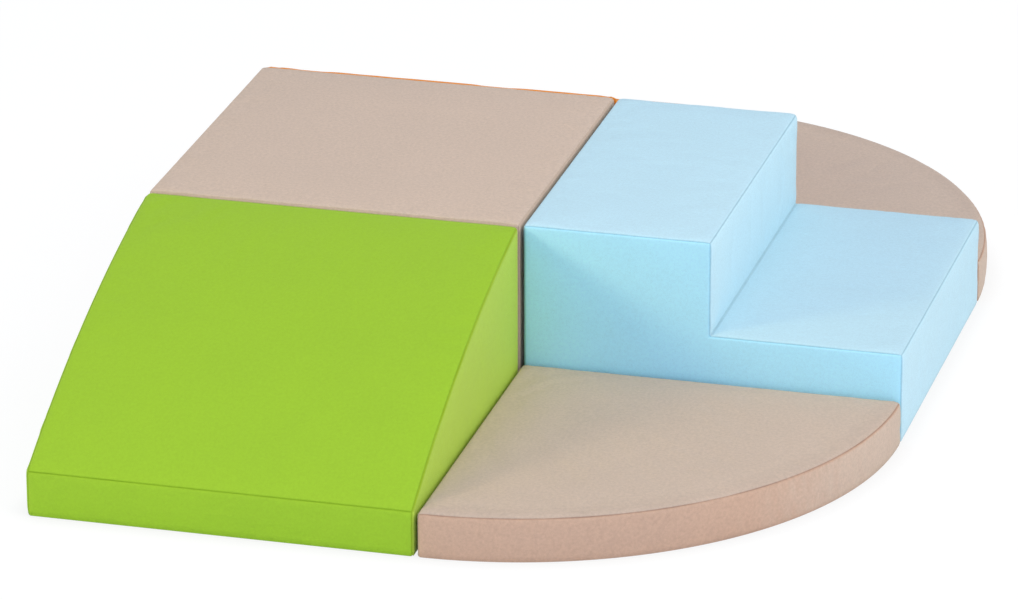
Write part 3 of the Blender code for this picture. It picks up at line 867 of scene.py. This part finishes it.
def cover_material(name, colour, second, seam_and_shade_share, mottle):
    """Coated cloth: fine grain, a mottled colour, a second colour with painted light and shade on some
    panels, darker seams with painted shade beside some of them, painted light and shade on whole blocks and
    panels, and a painted contact shadow near the floor.
    """
    material, tree, shader = new_material(name)
    place = object_place(tree)
    # the second colour paints light and shade on some panels
    panels = mixed(tree, marked(tree, "painted_light_share"), (*colour, 1), (*second, 1))
    # darker seam lines, with painted shade in the rows beside some seams
    seam_and_shade_dark = vector_maths(tree, "MULTIPLY", panels, seam_and_shade_share)
    cloth = mixed(tree, marked(tree, "seam_and_shade"), panels, seam_and_shade_dark)
    cells = {"Vector": place, "Scale": GRAIN_SCALE, "Randomness": GRAIN_RANDOMNESS}
    grain = node(tree, "ShaderNodeTexVoronoi", cells, feature="DISTANCE_TO_EDGE").outputs["Distance"]
    fine = cloudy(tree, place, FINE_SCALE)
    speckle = cloudy(tree, place, SPECKLE_SCALE)
    patch = cloudy(tree, place, PATCH_SCALE, 4.0)
    height = node(tree, "ShaderNodeSeparateXYZ", {0: place}).outputs["Z"]
    light = maths(tree, "ADD", ramp(tree, speckle, *SPECKLE_SPAN, 1 - mottle, 1 + mottle),
                  ramp(tree, patch, *NOISE_SPAN, -PATCH_CHANGE, PATCH_CHANGE))
    light = maths(tree, "MULTIPLY", light, ramp(tree, grain, 0.0, GRAIN_FURROW, *GRAIN_SHADES))
    # painted contact shadow near the floor
    light = maths(tree, "MULTIPLY", light, ramp(tree, height, 0.0, PAINTED_SHADOW_HEIGHT, PAINTED_SHADOW_SHARE, 1.0))
    # painted light and shade of each block and some panels
    light = maths(tree, "MULTIPLY", light, marked(tree, "painted_lightness"))
    tree.links.new(tinted(tree, cloth, light), shader.inputs["Base Color"])
    rough = maths(tree, "ADD", ramp(tree, fine, *NOISE_SPAN, *COVER_ROUGHNESS),
                  ramp(tree, patch, *NOISE_SPAN, -PATCH_ROUGHNESS, PATCH_ROUGHNESS))
    tree.links.new(rough, shader.inputs["Roughness"])
    shader.inputs["Specular IOR Level"].default_value = COVER_SPECULAR
    shader.inputs["Sheen Weight"].default_value = COVER_SHEEN
    shader.inputs["Sheen Roughness"].default_value = COVER_SHEEN_ROUGHNESS
    relief = ramp(tree, grain, 0.0, GRAIN_ROUND, 0.0, 1.0)
    relief = maths(tree, "ADD", relief, maths(tree, "MULTIPLY", fine, FINE_RELIEF_SHARE))
    relief = maths(tree, "ADD", relief, maths(tree, "MULTIPLY", speckle, SPECKLE_RELIEF_SHARE))
    raise_relief(tree, shader, relief, GRAIN_STRENGTH, GRAIN_RELIEF)
    return material


def plain_material(name, colour, roughness, grain_scale, grain_size, relief, metallic=0.0, sheen=0.0):
    """Fine uneven colour, roughness and relief of one scale."""
    material, tree, shader = new_material(name)
    place = object_place(tree)
    grain = cloudy(tree, place, grain_scale, 4.0)
    light = ramp(tree, grain, *NOISE_SPAN, *PLAIN_SHADES)
    tree.links.new(tinted(tree, colour, light), shader.inputs["Base Color"])
    rough = ramp(tree, grain, *NOISE_SPAN, roughness - ROUGHNESS_CHANGE, roughness + ROUGHNESS_CHANGE)
    tree.links.new(rough, shader.inputs["Roughness"])
    shader.inputs["Metallic"].default_value = metallic
    shader.inputs["Sheen Weight"].default_value = sheen
    raise_relief(tree, shader, grain, relief, grain_size)
    return material


def foam_material():
    """Cut open foam: round pores in an even body."""
    material, tree, shader = new_material("foam")
    place = object_place(tree)
    pores = node(tree, "ShaderNodeTexVoronoi", {"Vector": place, "Scale": PORE_SCALE}).outputs["Distance"]
    light = ramp(tree, pores, *PORE_SPAN, *PORE_SHADES)
    tree.links.new(tinted(tree, FOAM_WHITE, light), shader.inputs["Base Color"])
    shader.inputs["Roughness"].default_value = FOAM_ROUGHNESS
    raise_relief(tree, shader, pores, PORE_STRENGTH, PORE_DEPTH)
    return material


def base_material():
    """Dark cloth with raised rubber dots in rows."""
    material, tree, shader = new_material("base_dots")
    place = object_place(tree)
    part = node(tree, "ShaderNodeVectorMath", {0: tinted(tree, place, 1 / DOT_PITCH)}, operation="FRACTION")
    off = vector_maths(tree, "SUBTRACT", part.outputs[0], (0.5, 0.5, 0.0))
    flat = vector_maths(tree, "MULTIPLY", off, (1.0, 1.0, 0.0))
    away = node(tree, "ShaderNodeVectorMath", {0: flat}, operation="LENGTH").outputs["Value"]
    dot = ramp(tree, away, *DOT_EDGE, 1.0, 0.0)
    weave = cloudy(tree, place, BASE_WEAVE_SCALE)
    darker = maths(tree, "MULTIPLY", dot, DOT_DARKER)
    light = maths(tree, "SUBTRACT", ramp(tree, weave, *NOISE_SPAN, *BASE_WEAVE_SHADES), darker)
    tree.links.new(tinted(tree, BASE_GREY, light), shader.inputs["Base Color"])
    tree.links.new(ramp(tree, dot, 0.0, 1.0, *BASE_ROUGHNESS), shader.inputs["Roughness"])
    relief = maths(tree, "ADD", dot, maths(tree, "MULTIPLY", weave, BASE_WEAVE_SHARE))
    raise_relief(tree, shader, relief, DOT_STRENGTH, DOT_RELIEF)
    return material


def woven_material(name, colour, across_scale):
    """A ribbed woven band."""
    material, tree, shader = new_material(name)
    place = object_place(tree)
    bands = {"Vector": place, "Scale": across_scale, "Distortion": RIB_WANDER}
    ribs = node(tree, "ShaderNodeTexWave", bands, bands_direction="DIAGONAL").outputs["Fac"]
    fine = cloudy(tree, place, YARN_SCALE)
    light = maths(tree, "ADD", ramp(tree, ribs, 0.0, 1.0, *RIB_SHADES),
                  ramp(tree, fine, *NOISE_SPAN, -YARN_CHANGE, YARN_CHANGE))
    tree.links.new(tinted(tree, colour, light), shader.inputs["Base Color"])
    shader.inputs["Roughness"].default_value = WOVEN_ROUGHNESS
    shader.inputs["Sheen Weight"].default_value = WOVEN_SHEEN
    relief = maths(tree, "ADD", ribs, maths(tree, "MULTIPLY", fine, YARN_SHARE))
    raise_relief(tree, shader, relief, RIB_STRENGTH, RIB_RELIEF)
    return material


MATERIALS = {
    "cover_beige": cover_material("cloth_beige", BEIGE, BEIGE_SIDE_PAINTED_SHADE, BEIGE_SEAM_AND_SHADE, 0.080),
    "cover_green": cover_material("cloth_green", GREEN, GREEN_SIDE_PAINTED_LIGHT, GREEN_SEAM_AND_SHADE, 0.042),
    "cover_blue": cover_material("cloth_blue", BLUE, BLUE_FRONT_PAINTED_LIGHT, BLUE_SEAM_AND_SHADE, 0.038),
    "cover_orange": cover_material("cloth_orange", ORANGE, ORANGE, ORANGE_SEAM, 0.045),
    "foam": foam_material(),
    "base": base_material(),
    "zip_tape": woven_material("zip_tape", TAPE_GREY, 260.0),
    "teeth": plain_material("zip_teeth", TEETH_GREY, 0.42, 300.0, 0.0001, 0.2),
    "zip_slider": plain_material("slider_metal", NICKEL, 0.34, 500.0, 0.00005, 0.15, metallic=1.0),
    "hook": plain_material("hook_tape", HOOK_GREY, 0.75, 1400.0, 0.0004, 0.9),
    "loop": plain_material("loop_tape", LOOP_GREY, 0.92, 800.0, 0.0006, 1.0, sheen=0.25),
    "thread": plain_material("thread", THREAD_GREY, 0.7, 2500.0, 0.0001, 0.3),
}


# Blocks

def crowns_of(free, mating):
    """Heights of the crowns of a block's panels, from its open sides and those that meet a block."""
    crowns = {"top": TOP_CROWN}
    crowns.update((name, SIDE_CROWN) for name in free)
    crowns.update((name, MATING_CROWN) for name in mating)
    return crowns


def tall(kind, face):
    """A wide tape at half the height of a side."""
    return (kind, face, PLATFORM_HEIGHT / 2, STRIP_WIDTH, PLATFORM_HEIGHT)


def low(kind, face, side_height=PLATFORM_HEIGHT):
    """A narrow tape at the height of the mats."""
    return (kind, face, MAT_STRIP_HEIGHT, MAT_STRIP_WIDTH, side_height)


BLOCKS = {
    # name: column, row, turn, form, crowns, colour slot, zip face, zip height, hook and loop tapes
    "platform": (0, 0, 0, box_form, crowns_of((), ("left", "front", "right", "back")), "cover_beige",
                 "left", ZIP_HEIGHT, [tall("hook", face) for face in ("front", "right", "back")]),
    "ramp": (0, -1, 0, ramp_form,
             {**crowns_of(("front",), ("back", "right")), "left": SLOPE_SIDE_CROWN}, "cover_green",
             "back", ZIP_HEIGHT, [tall("loop", "back"), low("hook", "right")]),
    "slide": (0, 1, 180, slide_form,
              {**crowns_of(("front",), ("back", "left")), "right": SLOPE_SIDE_CROWN}, "cover_orange",
              "back", ZIP_HEIGHT, [tall("loop", "back"), low("hook", "left")]),
    "stair": (1, 0, 0, stair_form,
              {**crowns_of(("right", "riser"), ("left", "front", "back")), "tread": TOP_CROWN},
              "cover_blue", "left", ZIP_HEIGHT,
              [tall("loop", "left"), low("hook", "front"), low("hook", "back")]),
    "front_mat": (1, -1, -90, mat_form, crowns_of(("arc",), ("left", "front")), "cover_beige",
                  "front", MAT_ZIP_HEIGHT, [low("loop", face, MAT_HEIGHT) for face in ("left", "front")]),
    "back_mat": (1, 1, 0, mat_form, crowns_of(("arc",), ("left", "front")), "cover_beige",
                 "front", MAT_ZIP_HEIGHT, [low("loop", face, MAT_HEIGHT) for face in ("left", "front")]),
}


def add_cover(name, facts):
    column, row, turn, form, crowns, colour, zip_face, zip_height, tapes = facts
    mesh, layer, numbers = form()
    zones = [(zip_face, zip_height, ZIP_LENGTH, TAPE_WIDTH)]
    zones += [(face, height, STRIP_LENGTH, width) for _, face, height, width, _ in tapes]
    pad_out(mesh, layer, numbers, crowns, zones)
    sew(mesh, layer, numbers, name)
    cut_slot(mesh, zip_face, zip_height)
    # painted light and shade: each block, and some of its panels, painted lighter or darker
    painted_lightness = mesh.verts.layers.float.new("painted_lightness")
    panels = {number: PANEL_PAINTED_LIGHT.get((name, panel), 1.0) for panel, number in numbers.items()}
    for vert in mesh.verts:
        shades = [panels[face[layer]] for face in vert.link_faces]
        vert[painted_lightness] = BLOCK_PAINTED_LIGHT.get(name, 1.0) * sum(shades) / max(len(shades), 1)
    cover = add_piece(f"{name}_sewn_cover", mesh, name, MATERIALS[colour], block_frame(column, row, turn))
    shell = cover.modifiers.new("shell", "SOLIDIFY")
    shell.thickness = COVER_THICKNESS
    shell.offset = -1
    shell.use_even_offset = True
    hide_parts(f"{name}_cover")


def add_core(name, kind, number):
    """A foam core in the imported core's form, with its cut edges broken."""
    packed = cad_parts[f"{name}_{kind}"]
    mesh = bmesh.new()
    mesh.from_mesh(packed.data)
    core = add_piece(f"{name}_foam_core_{number}", mesh, name, MATERIALS["foam"], smooth=False)
    worn = core.modifiers.new("worn", "BEVEL")
    worn.width = CORE_ROUND
    worn.segments = 2
    worn.limit_method = "ANGLE"
    worn.angle_limit = math.radians(CORE_SHARP_ANGLE)
    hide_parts(packed.name)


def add_stitch(mesh, start, end, out):
    """One stitch of thread: a slim grain that stands a little off the cloth."""
    along = end - start
    side = along.normalized().cross(out) * THREAD_RADIUS
    middle = (start + end) / 2
    ring = [middle + side, middle + out * THREAD_RADIUS, middle - side, middle - out * THREAD_RADIUS]
    ring = [mesh.verts.new(point) for point in ring]
    tips = mesh.verts.new(start), mesh.verts.new(end)
    for index in range(4):
        following = (index + 1) % 4
        mesh.faces.new((tips[0], ring[following], ring[index]))
        mesh.faces.new((tips[1], ring[index], ring[following]))


def stitch_round(mesh, length, width, level, matrix):
    """A rectangle of stitches, at a height over a side face."""
    corners = [Vector((x * length / 2, y * width / 2, 0)) for x, y in ((-1, -1), (1, -1), (1, 1), (-1, 1))]
    out = (matrix.to_3x3() @ Vector((0, 0, 1))).normalized()
    for first, second in zip(corners, corners[1:] + corners[:1]):
        count = max(1, round((second - first).length / STITCH_PITCH))
        for step in range(count):
            ends = []
            for share in (step + STITCH_GAP_SHARE / 2, step + 1 - STITCH_GAP_SHARE / 2):
                point = first.lerp(second, share / count)
                point.z = level(point)
                ends.append(matrix @ point)
            add_stitch(mesh, *ends, out)


def pile(kind, x, y):
    """Height of the pile over its tape: rows of hooks, or uneven loops."""
    if kind == "hook":
        return HOOK_HEIGHT * math.sin(x * HOOK_ROWS[0]) * math.sin(y * HOOK_ROWS[1])
    return LOOP_HEIGHT * noise.noise(Vector((x * LOOP_SCALE, y * LOOP_SCALE, 0)))


def add_tape(name, tape, matrix, thread):
    kind, face, height, width, side_height = tape
    fullest = min(height + width / 2, side_height / 2)
    seat = MATING_CROWN * float(swell(fullest)) + SEAT_GAP
    top = seat + STRIP_THICKNESS - PILE_CLEARANCE
    ends, sides = STRIP_LENGTH / 2, width / 2
    rows = [-sides, TAPE_EDGE - sides, sides - TAPE_EDGE, sides]
    columns = [-ends, TAPE_EDGE - ends, ends - TAPE_EDGE, ends]

    def place(x, y, z):
        if z == 0:
            return Vector((x, y, seat))
        inside = min(ends - abs(x), sides - abs(y))
        if inside <= TAPE_EDGE * ROUNDING:
            return Vector((x, y, seat + TAPE_EDGE_THICKNESS))
        return Vector((x, y, top + pile(kind, x, y)))

    lines = even_lines(columns, TAPE_CELL[0]), even_lines(rows, TAPE_CELL[1]), (0, 1)
    mesh, _, _ = lattice_surface(lines, place)
    onto = matrix @ side_frame(face, height)
    piece = add_piece(f"{name}_{kind}_tape_{face}", mesh, name, MATERIALS[kind], onto)
    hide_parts(f"{name}_{kind}_strip_{face}")

    def level(point):
        return seat + TAPE_EDGE_THICKNESS

    stitch_round(thread, STRIP_LENGTH - TAPE_EDGE, width - TAPE_EDGE, level, onto)


def add_tooth(mesh, x, low, high, foot, crest):
    """One moulded element of the chain, from one edge of it to past the middle."""
    half = TOOTH_PITCH * TOOTH_SHARE
    inner = half * TOOTH_CREST_SHARE
    near, far = low + TOOTH_SLOPE, high - TOOTH_SLOPE
    lower = [mesh.verts.new(point) for point in ((x - half, low, foot), (x + half, low, foot),
                                                 (x + half, high, foot), (x - half, high, foot))]
    upper = [mesh.verts.new(point) for point in ((x - inner, near, crest), (x + inner, near, crest),
                                                 (x + inner, far, crest), (x - inner, far, crest))]
    mesh.faces.new(reversed(lower))
    mesh.faces.new(upper)
    for index in range(4):
        following = (index + 1) % 4
        mesh.faces.new((lower[index], lower[following], upper[following], upper[index]))


def add_zip(name, face, height, matrix, thread):
    """The zip's woven tape, its interlocked teeth with end stops, and a runner without a pull."""
    tape_top = MATING_CROWN * float(swell(height - COVER_LIFT + TAPE_WIDTH / 2))
    back = tape_top - COVER_THICKNESS
    end, edge = ZIP_LENGTH / 2, TAPE_WIDTH / 2

    def place(x, y, z):
        if z == 0:
            return Vector((x, y, back))
        off_groove = min(abs(abs(y) - CHAIN_WIDTH / 2 - GROOVE_OFFSET) / GROOVE_WIDTH, 1)
        return Vector((x, y, tape_top - GROOVE_DEPTH * (1 - off_groove)))

    columns = even_lines([-end, end], BAND_CELL[0])
    groove = CHAIN_WIDTH / 2 + GROOVE_OFFSET
    rows = even_lines([-edge, -groove, groove, edge], BAND_CELL[1])
    mesh, _, _ = lattice_surface((columns, rows, (0, 1)), place)
    onto = matrix @ side_frame(face, height)
    tape = add_piece(f"{name}_zip_band", mesh, name, MATERIALS["zip_tape"], onto)
    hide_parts(f"{name}_zip")
    teeth = bmesh.new()
    inner = end - STOP_LENGTH
    count = int(2 * inner / TOOTH_PITCH)
    for index in range(count):
        side = 1 if index % 2 else -1
        x = -inner + (index + 0.5) * 2 * inner / count
        low, high = sorted((-side * TOOTH_OVERLAP, side * CHAIN_WIDTH / 2))
        add_tooth(teeth, x, low, high, tape_top - TOOTH_SINK, tape_top + CHAIN_HEIGHT)
    stop_height = CHAIN_HEIGHT + STOP_EXTRA_HEIGHT
    for side in (-1, 1):
        block = bmesh.ops.create_cube(teeth, size=1)["verts"]
        size = Matrix.Diagonal((STOP_LENGTH, CHAIN_WIDTH + STOP_EXTRA_WIDTH, stop_height, 1))
        middle = (side * (end - STOP_LENGTH / 2), 0, tape_top + stop_height / 2)
        bmesh.ops.transform(teeth, matrix=Matrix.Translation(middle) @ size, verts=block)
        edges = list({edge for vert in block for edge in vert.link_edges})
        bmesh.ops.bevel(teeth, geom=edges, offset=STOP_ROUND, segments=2, profile=0.5, affect="EDGES")
    chain = add_piece(f"{name}_zip_teeth", teeth, name, MATERIALS["teeth"], onto, smooth=False)
    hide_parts(f"{name}_zip")
    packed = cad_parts[f"{name}_zip_slider"]
    mesh = bmesh.new()
    mesh.from_mesh(packed.data)
    runner = add_piece(f"{name}_zip_runner", mesh, f"{name}_slider", MATERIALS["zip_slider"], smooth=False)
    cast = runner.modifiers.new("cast", "BEVEL")
    cast.width = RUNNER_ROUND
    cast.segments = 3
    cast.limit_method = "ANGLE"
    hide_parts(packed.name)

    def level(point):
        return MATING_CROWN * float(swell(height + point.y - COVER_LIFT)) + THREAD_RADIUS / 2

    length, width = ZIP_LENGTH + 2 * STITCH_MARGIN, TAPE_WIDTH + 2 * STITCH_MARGIN
    stitch_round(thread, length, width, level, onto)


def add_block(name, facts):
    column, row, turn, _, _, _, zip_face, zip_height, tapes = facts
    matrix = block_frame(column, row, turn)
    add_cover(name, facts)
    kinds = ("foam_lower", "foam_upper") if name == "stair" else ("foam",)
    for number, kind in enumerate(kinds, 1):
        add_core(name, kind, number)
    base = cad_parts[f"{name}_base"]
    base.data.materials.clear()
    base.data.materials.append(MATERIALS["base"])
    thread = bmesh.new()
    for tape in tapes:
        add_tape(name, tape, matrix, thread)
    add_zip(name, zip_face, zip_height, matrix, thread)
    add_piece(f"{name}_stitching", thread, name, MATERIALS["thread"])


add_camera()
add_floor()
add_light()
for name, facts in BLOCKS.items():
    add_block(name, facts)
